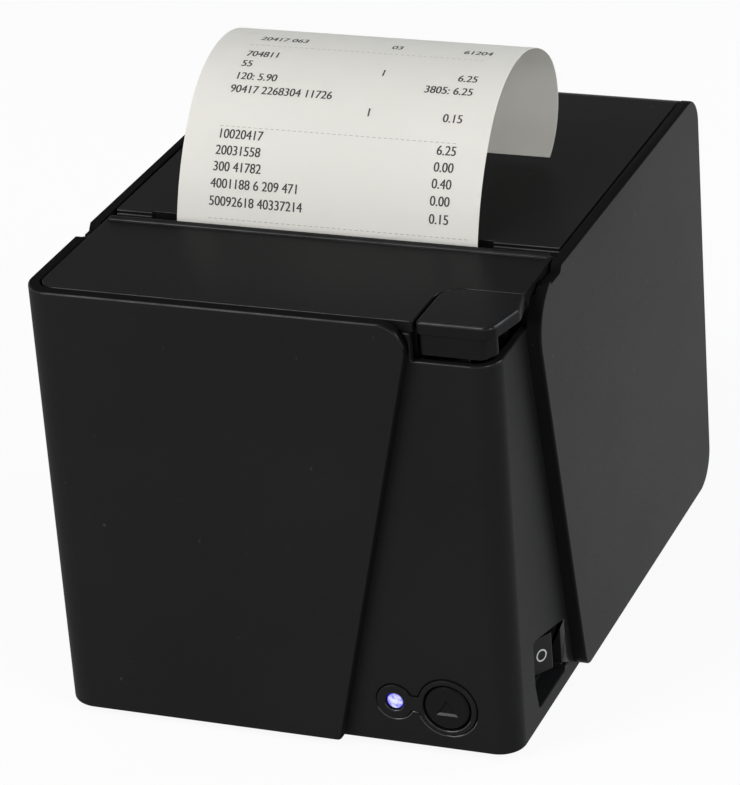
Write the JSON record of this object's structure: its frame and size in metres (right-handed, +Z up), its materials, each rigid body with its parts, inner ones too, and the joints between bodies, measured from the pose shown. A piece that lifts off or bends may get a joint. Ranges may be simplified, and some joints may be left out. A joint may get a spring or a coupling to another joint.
{
  "type": "receipt printer",
  "caption": "Boxy dark desktop receipt printer with a hinged lid, thumb lever, feed button, side rocker, paper roll, thermal print mechanism and a curled slip leaving the top slot.",
  "frame": {"origin": "middle of the bounding box at the surface the rubber feet stand on", "axes": "+X to the right seen from the front, +Y from the front panel to the rear, +Z up"},
  "size_m": [0.124, 0.156, 0.1517],
  "materials": {
    "dark_shell": "satin black moulding",
    "dark_case": "fine matt black moulding",
    "rocker_black": "black with pale marks",
    "lamp_blue": "lit blue lens",
    "thermal_paper": "smooth thermal paper",
    "core_board": "wound grey board",
    "black_rubber": "soft feet",
    "platen_rubber": "ground rubber sleeve",
    "screw_steel": "zinc plated",
    "chassis_steel": "plated sheet",
    "shaft_steel": "ground and polished",
    "spring_steel": "drawn wire and strip",
    "blade_steel": "ground blade",
    "motor_can": "plated can",
    "white_gear": "natural acetal",
    "brass_gear": "cut pinion",
    "heatsink_alu": "extruded",
    "head_ceramic": "glazed strip",
    "grey_moulding": "inner moulding",
    "board_green": "laminated board",
    "port_black": "connector body",
    "port_metal": "shielded connector"
  },
  "bodies": {
    "housing": {"front_panel": "dark_shell", "main_case": "dark_case", "right_side_panel": "dark_shell", "left_side_panel": "dark_shell", "top_front_panel": "dark_shell", "control_bezel": "dark_case", "led_lens": "lamp_blue", "power_switch_body": "rocker_black", "base_tray": "dark_case", "rubber_feet": "black_rubber", "case_screws": "screw_steel", "rear_panel": "dark_shell", "interface_plate": "chassis_steel", "roll_bucket": "grey_moulding", "paper_web": "thermal_paper", "near_end_sensor": "port_black", "mech_frame": "chassis_steel", "frame_screws": "screw_steel", "head_crossbar": "chassis_steel", "head_springs": "spring_steel", "idler_stud": "shaft_steel", "feed_motor": "motor_can", "cutter_guide": "chassis_steel", "cutter_motor": "motor_can", "lid_hinge_pins": "shaft_steel", "lever_pin": "shaft_steel", "latch_spring": "spring_steel", "control_board": "board_green", "tact_switch": "port_black", "main_board": "board_green", "power_inlet": "port_black", "drawer_port": "port_black", "usb_port": "port_metal", "lan_port": "port_metal"},
    "lid": {"lid_cover": "dark_shell", "lid_inner_frame": "grey_moulding", "fixed_blade": "blade_steel", "platen_bushes": "white_gear"},
    "platen": {"platen_roller": "platen_rubber", "platen_shaft": "shaft_steel", "platen_gear": "white_gear"},
    "idler": {"idler_gear": "white_gear"},
    "feed_pinion": {"motor_pinion": "brass_gear"},
    "lever": {"open_lever": "dark_shell"},
    "latch": {"latch_shaft": "shaft_steel", "latch_hooks": "chassis_steel", "latch_arm": "grey_moulding"},
    "button": {"feed_button": "dark_shell"},
    "rocker": {"power_rocker": "rocker_black"},
    "cutter_blade": {"moving_blade": "blade_steel", "blade_racks": "white_gear"},
    "cutter_drive": {"cutter_shaft": "shaft_steel", "cutter_pinions": "white_gear"},
    "cutter_gear": {"cutter_motor_pinion": "brass_gear"},
    "roll": {"paper_roll": "thermal_paper", "roll_core": "core_board"},
    "slip": {"receipt": "thermal_paper"},
    "print_head": {"head_heatsink": "heatsink_alu", "head_ceramic": "head_ceramic"}
  },
  "joints": [
    {"name": "lid_hinge", "type": "hinge", "parent": "housing", "child": "lid", "pos_m": [0, 0.073, 0.1], "axis": [-1, 0, 0], "range_deg": [0, 90]},
    {"name": "platen_spin", "type": "hinge", "parent": "lid", "child": "platen", "pos_m": [-0.0012, -0.02415, 0.097], "axis": [1, 0, 0], "continuous": true},
    {"name": "idler_spin", "type": "hinge", "parent": "housing", "child": "idler", "pos_m": [-0.052, -0.02415, 0.0754], "axis": [1, 0, 0], "continuous": true},
    {"name": "feed_pinion_spin", "type": "hinge", "parent": "housing", "child": "feed_pinion", "pos_m": [-0.052, -0.04053, 0.06393], "axis": [1, 0, 0], "continuous": true},
    {"name": "lever_press", "type": "hinge", "parent": "housing", "child": "lever", "pos_m": [0.051, -0.034, 0.11], "axis": [1, 0, 0], "range_deg": [0, 1.8], "stiffness_Nm_per_rad": 0.12, "springref_deg": -2.86},
    {"name": "latch_turn", "type": "hinge", "parent": "housing", "child": "latch", "pos_m": [0, -0.04, 0.084], "axis": [1, 0, 0], "range_deg": [0, 3], "deforming": ["latch_spring"]},
    {"name": "button_push", "type": "slide", "parent": "housing", "child": "button", "axis": [0, 1, 0], "range_m": [0, 0.001], "stiffness_N_per_m": 400, "springref_m": -0.0005},
    {"name": "rocker_turn", "type": "hinge", "parent": "housing", "child": "rocker", "pos_m": [0.0514, -0.0477, 0.014], "axis": [0, 0, 1], "range_deg": [0, 18]},
    {"name": "blade_slide", "type": "slide", "parent": "housing", "child": "cutter_blade", "axis": [0, 1, 0], "range_m": [0, 0.007]},
    {"name": "cutter_drive_turn", "type": "hinge", "parent": "housing", "child": "cutter_drive", "pos_m": [-0.0012, -0.052, 0.09726], "axis": [1, 0, 0], "range_deg": [-85, 0]},
    {"name": "cutter_gear_turn", "type": "hinge", "parent": "housing", "child": "cutter_gear", "pos_m": [0.028, -0.04899, 0.08899], "axis": [1, 0, 0], "range_deg": [0, 102]},
    {"name": "roll_spin", "type": "hinge", "parent": "housing", "child": "roll", "pos_m": [-0.0012, 0.026, 0.0543], "axis": [1, 0, 0], "continuous": true},
    {"name": "slip_lift", "type": "slide", "parent": "lid", "child": "slip", "axis": [0, 0, 1], "range_m": [0, 0.012]},
    {"name": "head_tilt", "type": "hinge", "parent": "housing", "child": "print_head", "pos_m": [-0.0012, -0.03345, 0.0865], "axis": [1, 0, 0], "range_deg": [0, 1.5], "stiffness_Nm_per_rad": 0.5, "springref_deg": -1.15, "deforming": ["head_springs"]}
  ],
  "couplings": [
    {"joint": "idler_spin", "follows": "platen_spin", "ratio": -0.5},
    {"joint": "feed_pinion_spin", "follows": "platen_spin", "ratio": 1.2857},
    {"joint": "latch_turn", "follows": "lever_press", "ratio": 1.5},
    {"joint": "cutter_drive_turn", "follows": "blade_slide", "rad_per_m": -208.33},
    {"joint": "cutter_gear_turn", "follows": "blade_slide", "rad_per_m": 250}
  ]
}
